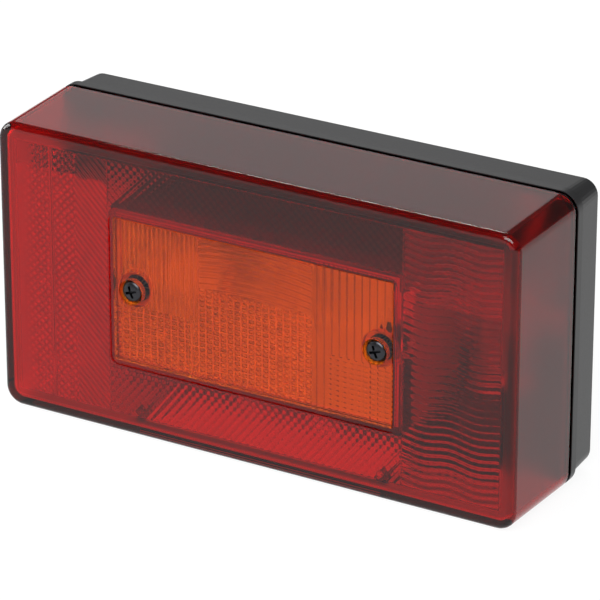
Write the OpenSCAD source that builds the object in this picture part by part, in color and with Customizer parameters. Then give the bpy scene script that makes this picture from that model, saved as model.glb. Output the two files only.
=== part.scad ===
// Rectangular rear lamp: red hood with an amber window, black base, bulbs and fixings inside.
// X runs along the width, Z is up and the lens faces -Y. The origin is the centre of the mounting face.

/* [Lens hood] */
// Width of the hood where it meets the base
lens_w = 190; // [182:0.5:215]
// Height of the hood where it meets the base
lens_h = 101; // [99:0.5:120]
// Depth of the hood from its front face to the base
lens_depth = 38; // [35:0.5:50]
// Wall of the hood
lens_wall = 2.5; // [2:0.1:3]
// Radius of the hood's four corners
lens_corner_r = 6.4; // [5:0.1:9]
// Radius of the edge round the front face
lens_edge_r = 2.2; // [1:0.1:2.6]
// How much each side leans in towards the front
lens_draft = 0.66; // [0:0.05:1.5]

/* [Red optics] */
// Height of the prisms behind the red front
optic_h = 0.8; // [0.4:0.1:1.2]
// Smooth border between the optics and the hood's walls
optic_border = 3.6; // [3:0.1:6]
// Pitch of the pillow columns at the left end
pillow_pitch = 2.75; // [2.5:0.05:4]
// Pitch of the horizontal ribs at the right end
rib_pitch = 2.5; // [2:0.1:4]
// Pitch of the slanting prisms above and below the window
slant_pitch = 2.6; // [2.4:0.1:4]
// Lean of those prisms, in degrees
slant_lean = 40; // [20:1:60]

/* [Amber window] */
// Width of the amber window
window_w = 102; // [96:0.5:106]
// Height of the amber window
window_h = 49.5; // [46:0.5:54]
// Height of the window's centre above the middle of the lamp
window_z = 0.5; // [-2:0.1:2]
// How far the window lies below the red face
window_sink = 0.2; // [0:0.05:0.4]
// Width of the flange behind the red wall
window_flange = 2.3; // [1.8:0.1:2.6]
// Thickness of that flange
window_flange_t = 1.5; // [1:0.1:2]
// Gap between the window and its opening
window_gap = 0.15; // [0.1:0.01:0.3]
// Width of the step in the red face round the window
bezel_w = 1.6; // [1:0.1:2.5]
// Depth of that step
bezel_depth = 0.5; // [0.2:0.1:0.8]
// Corner radius of that step
bezel_r = 3; // [1:0.1:4]
// Height of the flutes behind the window
flute_h = 0.9; // [0.4:0.1:1]
// Pitch of the fine flutes at the left of the window
fine_pitch = 1.7; // [1.5:0.05:2.5]
// Pitch of the broad flutes at the right of the window
broad_pitch = 2.7; // [2.2:0.05:4]
// Width of the pillow field in the middle of the window
field_w = 41; // [30:0.5:46]
// Pitch of the pillows in that field
field_pitch = 2.7; // [2.4:0.05:4]

/* [Plate window] */
// Length of the clear window in the underside
plate_len = 89; // [70:0.5:100]
// Depth of the clear window from front to back
plate_depth = 26; // [18:0.5:27]
// Thickness of its flange inside the hood
plate_flange_t = 1.2; // [0.8:0.1:2]
// Height of the lugs at its front corners
lug_h = 4.5; // [3:0.1:6]

/* [Base] */
// Depth of the base behind the hood
base_depth = 17; // [16:0.5:24]
// Thickness of the rim that carries the hood
rim_t = 3; // [2.5:0.1:4]
// How far the tub steps in behind the rim
tub_inset = 0.8; // [0.4:0.1:1.5]
// How much more each side leans in towards the back
tub_draft = 0.8; // [0:0.1:1.5]
// Radius of the tub's rear edge
tub_edge_r = 1; // [0.5:0.1:1.5]
// Thickness of the back plate
back_t = 3.2; // [2.8:0.1:4]
// Thickness of the lip that stands inside the hood
lip_t = 1.5; // [1.2:0.1:2]
// Height of that lip
lip_h = 3; // [2:0.1:5]
// Width of the land round the mounting face
land_w = 7; // [5:0.5:10]
// Depth of the hollow inside that land
land_depth = 1.2; // [0.8:0.1:1.4]
// Wall of the light box behind the amber window
box_wall = 1.6; // [1.2:0.1:1.8]

/* [Seal] */
// Width of the rubber lens seal
seal_w = 1.7; // [1.4:0.05:1.8]
// Thickness of the lens seal
seal_t = 0.8; // [0.6:0.05:1]
// Width of the tongue on the hood's edge
tongue_w = 1.2; // [1:0.05:1.5]
// Length of the tongue on the hood's edge
tongue_h = 1; // [0.6:0.05:1]

/* [Lens screws] */
// Distance of a lens screw from the end of the amber window
screw_edge = 6.3; // [6:0.1:7]
// Diameter of a screw head
screw_head_d = 7; // [6.4:0.1:7.4]
// Height of a screw head
screw_head_h = 2.4; // [1.8:0.1:2.6]
// Diameter of a screw shank
screw_d = 3.5; // [3:0.1:4]
// Length of a screw below its head
screw_len = 22; // [16:0.5:30]
// Thickness of the rubber washer under a head
washer_t = 1; // [0.6:0.1:1.2]
// Diameter of a screw post
post_d = 9; // [8:0.1:9.5]
// Wall of the boss behind the window round a screw
boss_wall = 3.9; // [3:0.1:4]

/* [Reflectors] */
// Wall of the bright reflectors
reflector_wall = 1.2; // [0.8:0.1:1.4]
// Wall of the sleeves round the screw posts
sleeve_wall = 1.5; // [1.4:0.1:1.8]
// Gap between the tail bulb's trough and what it stands between
trough_gap = 0.3; // [0.2:0.1:0.6]
// Gap between the lower end of that trough and the tub
trough_low_gap = 3.2; // [2:0.1:5]
// Gap between the upper end of that trough and the tub
trough_top_gap = 15; // [3:0.5:20]
// Depth of the trough's straight sides
tail_side = 12; // [6:0.5:16]

/* [Bulbs] */
// Diameter of a bulb's glass
bulb_d = 25; // [22:0.5:26.5]
// Diameter of a bulb's metal cap
cap_d = 15; // [14:0.1:15.2]
// Length of that cap
cap_len = 17; // [15:0.5:18]
// Distance from the cap's end to the filament
light_len = 38.5; // [36:0.5:40]
// Thickness of the bulb's glass
glass_t = 0.8; // [0.6:0.1:1]
// Height of the bulbs' axis above the back plate
bulb_height = 23; // [22:0.5:24]
// Height of the tail bulb's cap above the bottom of the tub
tail_rise = 7.7; // [5:0.1:9]
// How much higher the right-hand bulb stands than the tail bulb
fog_lift = 12; // [8:0.5:16]
// Wall of a bulb socket
socket_wall = 1.8; // [1.4:0.1:2]
// Length of a bulb socket
socket_len = 15; // [13:0.5:16]
// Diameter of the tube bulb that lights the number plate
festoon_d = 10.5; // [9:0.1:11]
// Length of that bulb
festoon_len = 35; // [33:0.5:37]

/* [Rear fixings] */
// Distance between the two mounting studs
stud_span = 152; // [148:1:156]
// Diameter of a mounting stud
stud_d = 6; // [5:0.5:6]
// How far a stud stands out behind the lamp
stud_out = 18; // [12:1:30]
// Diameter of the cable bore in the grommet
cable_d = 6.8; // [5:0.1:7.5]
// Outer diameter of the grommet's neck
grommet_neck_d = 12.6; // [12:0.1:13]
// Distance of the cable entry from the middle, towards the left
grommet_x = -26; // [-34:0.5:-20]

/* [Terminals] */
// Number of terminals in the block
terminal_count = 5; // [3:1:5]
// Spacing of the terminals
terminal_pitch = 7.5; // [7:0.1:8]
// Height of the terminal block above the back plate
terminal_h = 11; // [8:0.5:14]
// Width of the terminal block
terminal_w = 11; // [9:0.5:12]

/* [Hidden] */

$fn = 48;
hull_fn = 32;
eps = 0.01;
slip = 0.3;
fit_gap = 0.1;
cut_over = 1;

// Levels along Y, from the mounting face at 0 to the front of the lens
floor_y = -back_t;
joint_y = -base_depth;
rim_back_y = joint_y + rim_t;
front_y = joint_y - lens_depth;
inner_front_y = front_y + lens_wall;
window_front_y = front_y + window_sink;
window_back_y = inner_front_y + window_flange_t;
lip_y = joint_y - lip_h;
tongue_y = joint_y + tongue_h;
seal_y = tongue_y + seal_t;

// The hood's inside at the joint, and the tub's inside behind it
hood_in_w = lens_w - 2 * lens_wall;
hood_in_h = lens_h - 2 * lens_wall;
tub_in_inset = lens_wall + slip + lip_t;
tub_in_w = lens_w - 2 * tub_in_inset;
tub_in_h = lens_h - 2 * tub_in_inset;
tub_in_r = max(lens_corner_r - tub_in_inset, 1);

// Corners of the window's opening, of the window and of its flange
opening_corner_r = 0.8;
window_corner_r = 0.7;
flange_corner_r = 1.5;

// The flat of the front wall inside the hood
face_in_x = lens_w / 2 - lens_draft - lens_wall;
face_in_z = lens_h / 2 - lens_draft - lens_wall;
optic_x = face_in_x - optic_border;
optic_z = face_in_z - optic_border;

// Light box behind the window
flange_x = window_w / 2 + window_flange;
flange_z = window_h / 2 + window_flange;
box_out_x = flange_x + slip;
box_out_z = flange_z + slip;
box_in_x = box_out_x - box_wall;
box_in_z = box_out_z - box_wall;
box_front_y = window_back_y + slip;
notch_low = -3.5;
notch_high = 21;
notch_depth = 11;

// Lens screws: recess, washer, boss and post on one axis
screw_span = window_w - 2 * screw_edge;
recess_gap = 0.8;
recess_r = screw_head_d / 2 + recess_gap;
recess_y = window_front_y + screw_head_h + washer_t;
boss_r = screw_d / 2 + slip + boss_wall;
boss_len = 3.4;
post_y = recess_y + boss_len;
post_r = post_d / 2;
post_bore_r = screw_d / 2 + fit_gap;
post_bore_over = 2;
post_bore_len = screw_len - boss_len - washer_t + post_bore_over;
head_crown = 1.1;
cross_w = 0.9;
cross_depth = 1.5;
cross_len = 4.2;
cross_turn = 20;
sleeve_in_r = post_r + slip;
sleeve_out_r = sleeve_in_r + sleeve_wall;

// Studs inside the tub: pads and heads
stud_pad_t = 2;
stud_head_h = 3;

// Bulbs and sockets
axis_y = floor_y - bulb_height;
socket_in_r = cap_d / 2 + fit_gap;
socket_r = socket_in_r + socket_wall;
socket_back = 1.5;
pin_from_end = 7;
foot_w = 13;
foot_len = 12;
foot_ear = 4;
foot_flange_t = 2;
rivet_r = 1.6;
rivet_head_t = 0.8;
slot_w = 2.6;
pin_r = 1;
pin_out = 0.9;
contact_r = 3;
contact_h = 1;
neck_step = 0.6;
wire_r = 0.35;
coil_r = 0.6;
filament_reach = 3;
bead_r = 4.5;
bead_h = 3;
indicator_end_x = -screw_span / 2 + sleeve_out_r + slip + socket_back + fit_gap;
end_room = tub_in_w / 2 - box_out_x;
tail_trough_r = min(end_room / 2, bulb_height - stud_pad_t - stud_head_h) - trough_gap;
tail_trough_low = -tub_in_h / 2 + trough_low_gap;
tail_trough_top = tub_in_h / 2 - trough_top_gap;
tail_x = -box_out_x - end_room / 2;
tail_end_z = -tub_in_h / 2 + tail_rise;
fog_x = box_out_x + end_room / 2;
fog_end_z = tail_end_z + fog_lift;
trough_r = box_in_z - fit_gap;
trough_lift = 2;

// Flange and lugs of the clear window in the underside
plate_flange_w = 1.5;
lug_w = 3;
lug_t = 2.5;

// Number-plate bulb in the passage under the light box
plate_axis_z = -(box_out_z + (lens_h / 2 - lens_wall) - window_z) / 2;
plate_axis_height = 25;
plate_axis_y = floor_y - plate_axis_height;
clip_t = 0.6;
clip_w = 8;
clip_hole_r = 0.8;
festoon_tip_r = 1.7;
ferrule_step = 0.6;
ferrule_r = festoon_d / 2 - ferrule_step;
ferrule_len = 7;

// The passage above the light box holds the terminals and the cable entry
passage_z = (box_out_z + window_z + tub_in_h / 2) / 2;
terminal_x0 = 2;
terminal_end = 1.5;
terminal_len = terminal_count * terminal_pitch + 2 * terminal_end;
terminal_screw_r = 2;
terminal_screw_sink = 1;
terminal_screw_h = 2;
terminal_slot_w = 0.8;
terminal_slot_d = 0.8;
terminal_wire_r = 1.6;
strip_t = 0.8;
strip_w = 6;
strip_gap = 1;

// Mounting studs and cable grommet
stud_pad_r = 8.5;
stud_head_r = 6.5;
stud_crown = 1.6;
stud_chamfer = 1;
stud_neck_step = 0.4;
stud_neck_r = stud_d / 2 + stud_neck_step;
stud_hole_r = stud_neck_r + fit_gap;
stud_z = 0;
grommet_hole_r = grommet_neck_d / 2 + fit_gap;
grommet_flange_w = 2.2;
grommet_flange_r = grommet_neck_d / 2 + grommet_flange_w;
grommet_flange_t = 1.2;
grommet_sink = 0.2;
grommet_nose = 8;
grommet_bead = 1.5;
grommet_bead_h = 1.4;
grommet_nose_wall = 1.2;
rear_rib_w = 4;
rear_corner_r = 3;

// A rectangle with true round corners
module rounded_rect(w, h, r) {
    square([w - 2 * r, h], center = true);
    square([w, h - 2 * r], center = true);
    for (sx = [-1, 1], sz = [-1, 1])
        translate([sx * (w / 2 - r), sz * (h / 2 - r)])
            circle(r);
}

// A rounded slab that lies across Y between two levels
module slab(w, h, r, y_low, y_high) {
    translate([0, y_high, 0])
        rotate([90, 0, 0])
            linear_extrude(y_high - y_low)
                rounded_rect(w, h, r);
}

// A band with the given outer size and width, between two levels
module band(w, h, r, width, y_low, y_high) {
    difference() {
        slab(w, h, r, y_low, y_high);
        slab(w - 2 * width, h - 2 * width, max(r - width, 0.5), y_low - 1, y_high + 1);
    }
}

// A box between two corners
module block(low, high) {
    translate(low)
        cube(high - low);
}

// A cylinder along Y between two levels
module y_cylinder(r, x, z, y_low, y_high) {
    translate([x, y_high, z])
        rotate([90, 0, 0])
            cylinder(r = r, h = y_high - y_low);
}

// A tapered tub: full at one level, smaller and with a rounded edge at the other
module tapered_tub(w, h, r, shrink, edge_r, full_y, small_y) {
    toward = small_y > full_y ? 1 : -1;
    small_r = max(r - shrink, edge_r + 0.3);
    corner_x = w / 2 - shrink - small_r;
    corner_z = h / 2 - shrink - small_r;
    hull($fn = hull_fn) {
        slab(w, h, r, min(full_y, full_y + toward * eps), max(full_y, full_y + toward * eps));
        for (sx = [-1, 1], sz = [-1, 1])
            translate([sx * corner_x, small_y - toward * edge_r, sz * corner_z])
                rotate([90, 0, 0])
                    rotate_extrude($fn = hull_fn)
                        intersection() {
                            translate([small_r - edge_r, 0])
                                circle(edge_r);
                            translate([0, -2 * edge_r])
                                square([small_r + 1, 4 * edge_r]);
                        }
    }
}

// The hood's outer form, or the same form set in by the given amount
module hood_form(inset, full_y) {
    lean = lens_draft * (full_y - front_y) / lens_depth;
    extra = max(full_y - joint_y, 0) * lens_draft / lens_depth;
    tapered_tub(
        lens_w - 2 * inset + 2 * extra, lens_h - 2 * inset + 2 * extra,
        max(lens_corner_r - inset, 1) + extra, lean, max(lens_edge_r - inset, 0.5),
        full_y, front_y + inset
    );
}

// Outline of a row of scallops: a flat back and one round-topped tooth per pitch
function scallops(count, pitch, height, back, steps) = concat(
    [[0, -back]],
    [for (i = [0:count - 1], j = [0:steps - 1]) [(i + j / steps) * pitch, height * sin(180 * j / steps)]],
    [[count * pitch, 0], [count * pitch, -back]]
);

// Vertical flutes that fill a rectangle of the front wall, pointing inwards
module flutes(x_low, z_low, w, h, pitch, height, y, steps = 4) {
    count = floor(w / pitch);
    translate([x_low + (w - count * pitch) / 2, y, z_low])
        linear_extrude(h)
            polygon(scallops(count, pitch, height, 0.5, steps));
}

// Horizontal ribs that fill a rectangle of the front wall
module ribs(x_low, z_low, w, h, pitch, height, y, steps = 4) {
    count = floor(h / pitch);
    translate([x_low + w, y, z_low + (h - count * pitch) / 2])
        rotate([0, -90, 0])
            linear_extrude(w)
                polygon(scallops(count, pitch, height, 0.5, steps));
}

// Slanting prisms that fill a rectangle of the front wall
module slants(x_low, z_low, w, h, pitch, height, y, lean) {
    reach = w + h;
    intersection() {
        block([x_low, y - 0.5, z_low], [x_low + w, y + height, z_low + h]);
        translate([x_low + w / 2, 0, z_low + h / 2])
            rotate([0, lean, 0])
                flutes(-reach / 2, -reach / 2, reach, reach, pitch, height, y, 2);
    }
}

// Pillows where two sets of prisms cross
module pillows(x_low, z_low, w, h, pitch, height, y) {
    intersection() {
        flutes(x_low, z_low, w, h, pitch, height, y, 2);
        ribs(x_low, z_low, w, h, pitch, height, y, 2);
    }
}

// The clear window's place in the underside, widened by a margin
module plate_region(margin) {
    middle_y = (joint_y + inner_front_y) / 2;
    block(
        [-plate_len / 2 - margin, middle_y - plate_depth / 2 - margin, -lens_h],
        [plate_len / 2 + margin, middle_y + plate_depth / 2 + margin, -lens_h / 4]
    );
}

module red_lens() {
    side_w = optic_x - box_out_x - slip;
    band_z = box_out_z + slip;
    color([0.72, 0.06, 0.06, 0.7]) {
        difference() {
            hood_form(0, joint_y);
            hood_form(lens_wall, joint_y + 1);
            translate([0, 0, window_z]) {
                slab(
                    window_w + 2 * window_gap, window_h + 2 * window_gap, opening_corner_r,
                    front_y - cut_over, inner_front_y + cut_over
                );
                slab(
                    window_w + 2 * bezel_w, window_h + 2 * bezel_w, bezel_r,
                    front_y - cut_over, front_y + bezel_depth
                );
            }
            plate_region(window_gap);
        }
        band(
            lens_w - lens_wall + tongue_w, lens_h - lens_wall + tongue_w,
            lens_corner_r - (lens_wall - tongue_w) / 2, tongue_w, joint_y - 0.5, tongue_y
        );
        flutes(-optic_x, -optic_z, side_w, 2 * optic_z, pillow_pitch, optic_h, inner_front_y);
        ribs(box_out_x + slip, -optic_z, side_w, 2 * optic_z, rib_pitch, optic_h, inner_front_y);
        slants(
            -box_out_x, band_z + window_z, 2 * box_out_x, optic_z - band_z - window_z,
            slant_pitch, optic_h, inner_front_y, slant_lean
        );
        slants(
            -box_out_x, -optic_z, 2 * box_out_x, optic_z - band_z + window_z,
            slant_pitch, optic_h, inner_front_y, -slant_lean
        );
    }
}

module amber_window() {
    side_w = window_w / 2 - field_w / 2;
    low_z = -window_h / 2;
    color([0.85, 0.38, 0.08, 0.7])
        translate([0, 0, window_z])
            difference() {
                union() {
                    slab(window_w, window_h, window_corner_r, window_front_y, window_back_y);
                    slab(2 * flange_x, 2 * flange_z, flange_corner_r, inner_front_y, window_back_y);
                    for (side = [-1, 1])
                        y_cylinder(boss_r, side * screw_span / 2, 0, window_back_y - 0.5, post_y);
                    flutes(-window_w / 2, low_z, side_w, window_h, fine_pitch, flute_h, window_back_y);
                    flutes(field_w / 2, low_z, side_w, window_h, broad_pitch, flute_h, window_back_y);
                    pillows(-field_w / 2, low_z, field_w, window_h, field_pitch, flute_h, window_back_y);
                }
                for (side = [-1, 1]) {
                    y_cylinder(recess_r, side * screw_span / 2, 0, window_front_y - 1, recess_y);
                    y_cylinder(screw_d / 2 + slip, side * screw_span / 2, 0, recess_y - 1, post_y + 1);
                }
            }
}

module plate_window() {
    middle_y = (joint_y + inner_front_y) / 2;
    lug_y = middle_y - plate_depth / 2;
    wall_z = -lens_h / 2 + lens_wall;
    color([0.85, 0.87, 0.88, 0.5]) {
        intersection() {
            difference() {
                hood_form(0, joint_y);
                hood_form(lens_wall, joint_y + 1);
            }
            plate_region(0);
        }
        intersection() {
            difference() {
                hood_form(lens_wall, joint_y + 1);
                hood_form(lens_wall + plate_flange_t, joint_y + 2);
            }
            plate_region(plate_flange_w);
        }
        for (side = [-1, 1])
            block(
                [side * plate_len / 2 - lug_w / 2, lug_y - lug_t / 2, wall_z + lens_draft],
                [side * plate_len / 2 + lug_w / 2, lug_y + lug_t / 2, wall_z + lens_draft + lug_h]
            );
    }
}

module lens_seal() {
    color([0.06, 0.06, 0.06])
        band(
            lens_w - lens_wall + seal_w, lens_h - lens_wall + seal_w,
            lens_corner_r - (lens_wall - seal_w) / 2, seal_w, tongue_y, seal_y
        );
}

// The two screw posts and the light box's walls, open at the notch
module post_and_box() {
    translate([0, 0, window_z]) {
        for (side = [-1, 1])
            y_cylinder(post_r, side * screw_span / 2, 0, post_y, floor_y + eps);
        difference() {
            block([-box_out_x, box_front_y, -box_out_z], [box_out_x, floor_y + eps, box_out_z]);
            block([-box_in_x, box_front_y - 1, -box_in_z], [box_in_x, floor_y + 1, box_in_z]);
            block(
                [0, box_front_y - cut_over, notch_low],
                [box_out_x + cut_over, box_front_y + notch_depth, notch_high]
            );
        }
    }
}

module base_housing() {
    rear_w = lens_w - 2 * (tub_inset + tub_draft);
    rear_h = lens_h - 2 * (tub_inset + tub_draft);
    color([0.07, 0.07, 0.075])
        difference() {
            union() {
                difference() {
                    union() {
                        slab(lens_w, lens_h, lens_corner_r, joint_y, rim_back_y);
                        tapered_tub(
                            lens_w - 2 * tub_inset, lens_h - 2 * tub_inset,
                            lens_corner_r - tub_inset / 2, tub_draft, tub_edge_r, rim_back_y - 1, 0
                        );
                        slab(
                            hood_in_w - 2 * slip, hood_in_h - 2 * slip,
                            max(lens_corner_r - lens_wall - slip, 1), lip_y, joint_y + eps
                        );
                    }
                    slab(tub_in_w, tub_in_h, tub_in_r, lip_y - 1, floor_y);
                    band(
                        lens_w - lens_wall + seal_w + 2 * fit_gap, lens_h - lens_wall + seal_w + 2 * fit_gap,
                        lens_corner_r - (lens_wall - seal_w) / 2 + fit_gap, seal_w + 2 * fit_gap,
                        joint_y - 1, seal_y
                    );
                    difference() {
                        slab(rear_w - 2 * land_w, rear_h - 2 * land_w, rear_corner_r, -land_depth, 1);
                        block(
                            [-rear_rib_w / 2, -land_depth - 1, -rear_h / 2],
                            [rear_rib_w / 2, 2, rear_h / 2]
                        );
                        for (side = [-1, 1])
                            y_cylinder(stud_pad_r, side * stud_span / 2, stud_z, -land_depth - 1, 2);
                        y_cylinder(
                            grommet_flange_r + back_t / 2, grommet_x, passage_z, -land_depth - 1, 2
                        );
                    }
                }
                post_and_box();
                for (side = [-1, 1])
                    y_cylinder(
                        stud_pad_r, side * stud_span / 2, stud_z, floor_y - stud_pad_t, floor_y + eps
                    );
            }
            for (side = [-1, 1]) {
                y_cylinder(stud_hole_r, side * stud_span / 2, stud_z, floor_y - stud_pad_t - 1, 1);
                y_cylinder(
                    post_bore_r, side * screw_span / 2, window_z, post_y - 1, post_y + post_bore_len
                );
            }
            y_cylinder(grommet_hole_r, grommet_x, passage_z, floor_y - 1, 1);
            y_cylinder(
                grommet_flange_r + fit_gap, grommet_x, passage_z,
                -grommet_flange_t - grommet_sink, 1
            );
        }
}

// A pan-head screw with a cross recess; its head's underside is at the origin and its shank points to +Y
module pan_screw() {
    r = screw_head_d / 2;
    shoulder = screw_head_h - head_crown;
    color([0.12, 0.12, 0.12])
        rotate([90, 0, 0])
            difference() {
                union() {
                    rotate_extrude()
                        polygon(concat(
                            [[0, 0], [r, 0], [r, shoulder]],
                            [for (a = [15:15:75]) [r * cos(a), shoulder + head_crown * sin(a)]],
                            [[0, screw_head_h]]
                        ));
                    translate([0, 0, -screw_len])
                        cylinder(d = screw_d, h = screw_len);
                }
                for (turn = [0, 90])
                    rotate([0, 0, turn + cross_turn])
                        translate([-cross_len / 2, -cross_w / 2, screw_head_h - cross_depth])
                            cube([cross_len, cross_w, cross_depth + 1]);
            }
}

module lens_screw(side) {
    translate([side * screw_span / 2, recess_y - washer_t, window_z])
        pan_screw();
}

module lens_screw_left() { lens_screw(-1); }
module lens_screw_right() { lens_screw(1); }

module screw_washer(side) {
    color([0.05, 0.05, 0.05])
        difference() {
            y_cylinder(
                recess_r - slip, side * screw_span / 2, window_z, recess_y - washer_t, recess_y
            );
            y_cylinder(
                screw_d / 2 + fit_gap, side * screw_span / 2, window_z,
                recess_y - washer_t - cut_over, recess_y + cut_over
            );
        }
}

module screw_washer_left() { screw_washer(-1); }
module screw_washer_right() { screw_washer(1); }

// Section of a trough: round below, straight sides above
module trough_outline(r, side) {
    intersection() {
        circle(r);
        translate([-r, -r])
            square([2 * r, r]);
    }
    translate([-r, 0])
        square([2 * r, side]);
}

// A trough along Z that opens upwards, with a wall and two ends of the same thickness
module trough(r, side, half, wall) {
    difference() {
        translate([0, 0, -half])
            linear_extrude(2 * half)
                trough_outline(r, side);
        translate([0, 0, -half + wall])
            linear_extrude(2 * (half - wall))
                trough_outline(r - wall, side + 1);
    }
}

// A long trough along X whose end plates stand on the floor, with sleeves round the screw posts
module indicator_reflector() {
    half = box_in_x - fit_gap;
    front = window_back_y + flute_h + slip;
    trough_y = floor_y - trough_lift - trough_r;
    foot_x = indicator_end_x - socket_back;
    color([0.85, 0.85, 0.86])
        translate([0, 0, window_z])
            difference() {
                union() {
                    translate([0, trough_y, 0])
                        rotate([0, 90, 0])
                            rotate([0, 0, 180])
                                trough(trough_r, trough_y - front, half, reflector_wall);
                    for (side = [-1, 1]) {
                        block(
                            [side > 0 ? half - reflector_wall : -half, trough_y, -trough_r],
                            [side > 0 ? half : -half + reflector_wall, floor_y, trough_r]
                        );
                        y_cylinder(sleeve_out_r, side * screw_span / 2, 0, post_y + 0.6, floor_y);
                    }
                }
                for (side = [-1, 1])
                    y_cylinder(sleeve_in_r, side * screw_span / 2, 0, post_y - 1, floor_y + 1);
                block(
                    [foot_x - slip, axis_y, -foot_w / 2 - foot_ear - slip],
                    [foot_x + foot_len + slip, floor_y + 1, foot_w / 2 + foot_ear + slip]
                );
                block([0, front - 1, notch_low], [half + 1, box_front_y + notch_depth, notch_high]);
            }
}

// A trough along Z behind the tail bulb whose end plates stand on the floor
module tail_reflector() {
    half = (tail_trough_top - tail_trough_low) / 2;
    r = tail_trough_r;
    foot_z = tail_end_z - socket_back;
    foot_half = foot_w / 2 + foot_ear + slip;
    color([0.85, 0.85, 0.86])
        difference() {
            union() {
                translate([tail_x, axis_y, tail_trough_low + half])
                    rotate([0, 0, 180])
                        trough(r, tail_side, half, reflector_wall);
                for (end_z = [tail_trough_low, tail_trough_top - reflector_wall])
                    block([tail_x - r, axis_y, end_z], [tail_x + r, floor_y, end_z + reflector_wall]);
            }
            block(
                [tail_x - foot_half, axis_y, foot_z - slip],
                [tail_x + foot_half, floor_y + 1, foot_z + foot_len + slip]
            );
        }
}

// Bulb pieces stand on the origin with the cap's end at 0 and the glass upwards
module bulb_glass_form() {
    r = bulb_d / 2;
    neck = cap_d / 2 - neck_step;
    lift = sqrt(pow(r, 2) - pow(neck, 2));
    color([0.9, 0.92, 0.95, 0.35])
        difference() {
            union() {
                translate([0, 0, light_len])
                    sphere(r);
                translate([0, 0, cap_len])
                    cylinder(r = neck, h = light_len - lift - cap_len + 1);
            }
            translate([0, 0, light_len])
                sphere(r - glass_t);
            translate([0, 0, cap_len - 1])
                cylinder(r = neck - glass_t, h = light_len - lift - cap_len + 3);
        }
}

module bulb_cap_form() {
    color([0.75, 0.68, 0.45]) {
        translate([0, 0, contact_h])
            cylinder(d = cap_d, h = cap_len - contact_h);
        cylinder(r = contact_r, h = 1.5 * contact_h);
        translate([-cap_d / 2 - pin_out, 0, pin_from_end])
            rotate([0, 90, 0])
                cylinder(r = pin_r, h = cap_d + 2 * pin_out);
    }
}

module filament_form() {
    reach = filament_reach;
    color([0.45, 0.45, 0.47]) {
        for (side = [-1, 1])
            translate([side * reach, 0, cap_len])
                cylinder(r = wire_r, h = light_len - cap_len);
        translate([-reach - wire_r, 0, light_len])
            rotate([0, 90, 0])
                cylinder(r = coil_r, h = 2 * (reach + wire_r));
        translate([0, 0, cap_len])
            cylinder(r = bead_r, h = bead_h);
    }
}

// A tubular socket with bayonet slots and a foot; the foot reaches down by the bulb height
module socket_form(tone) {
    color(tone)
        difference() {
            union() {
                translate([0, 0, -socket_back])
                    cylinder(r = socket_r, h = socket_len);
                translate([-foot_w / 2, -bulb_height, -socket_back])
                    cube([foot_w, bulb_height, foot_len]);
                translate([-foot_w / 2 - foot_ear, -bulb_height, -socket_back])
                    cube([foot_w + 2 * foot_ear, foot_flange_t, foot_len]);
            }
            translate([0, 0, -fit_gap])
                cylinder(r = socket_in_r, h = socket_len + 1);
            translate([-cap_d, -slot_w / 2, pin_from_end - slot_w / 2])
                cube([2 * cap_d, slot_w, socket_len]);
        }
}

// Places of the three sockets: a frame that stands along X or along Z
module at_indicator() {
    translate([indicator_end_x, axis_y, window_z])
        rotate([0, 90, 0])
            rotate([0, 0, 180])
                children();
}

module at_tail() {
    translate([tail_x, axis_y, tail_end_z])
        rotate([0, 0, 180])
            children();
}

module at_fog() {
    translate([fog_x, axis_y, fog_end_z])
        rotate([0, 0, 180])
            children();
}

module indicator_bulb_glass() { at_indicator() bulb_glass_form(); }
module indicator_bulb_cap() { at_indicator() bulb_cap_form(); }
module indicator_filament() { at_indicator() filament_form(); }
module indicator_socket() { at_indicator() socket_form([0.75, 0.75, 0.73]); }
module tail_bulb_glass() { at_tail() bulb_glass_form(); }
module tail_bulb_cap() { at_tail() bulb_cap_form(); }
module tail_filament() { at_tail() filament_form(); }
module tail_socket() { at_tail() socket_form([0.75, 0.75, 0.73]); }
module fog_bulb_glass() { at_fog() bulb_glass_form(); }
module fog_bulb_cap() { at_fog() bulb_cap_form(); }
module fog_filament() { at_fog() filament_form(); }
module fog_socket() { at_fog() socket_form([0.13, 0.13, 0.13]); }

module socket_rivets() {
    color([0.7, 0.7, 0.7]) {
        at_tail() rivet_pair();
        at_fog() rivet_pair();
        at_indicator() rivet_pair();
    }
}

module rivet_pair() {
    head_level = -bulb_height + foot_flange_t + rivet_head_t;
    for (side = [-1, 1])
        translate([side * (foot_w + foot_ear) / 2, head_level, foot_len / 2 - socket_back])
            rotate([90, 0, 0])
                cylinder(r = rivet_r, h = rivet_head_t);
}

module plate_bulb_glass() {
    length = festoon_len - 2 * ferrule_len;
    color([0.9, 0.92, 0.95, 0.35])
        translate([0, plate_axis_y, plate_axis_z])
            rotate([0, 90, 0])
                difference() {
                    cylinder(d = festoon_d, h = length, center = true);
                    cylinder(d = festoon_d - 2 * glass_t, h = length + 1, center = true);
                }
}

module plate_bulb_caps() {
    start = festoon_len / 2 - ferrule_len;
    color([0.75, 0.7, 0.55])
        translate([0, plate_axis_y, plate_axis_z])
            for (side = [-1, 1])
                rotate([0, side * 90, 0])
                    translate([0, 0, start])
                        rotate_extrude()
                            polygon([
                                [0, 0], [ferrule_r, 0], [ferrule_r, ferrule_len * 0.6],
                                [festoon_tip_r, ferrule_len], [0, ferrule_len]
                            ]);
}

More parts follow.
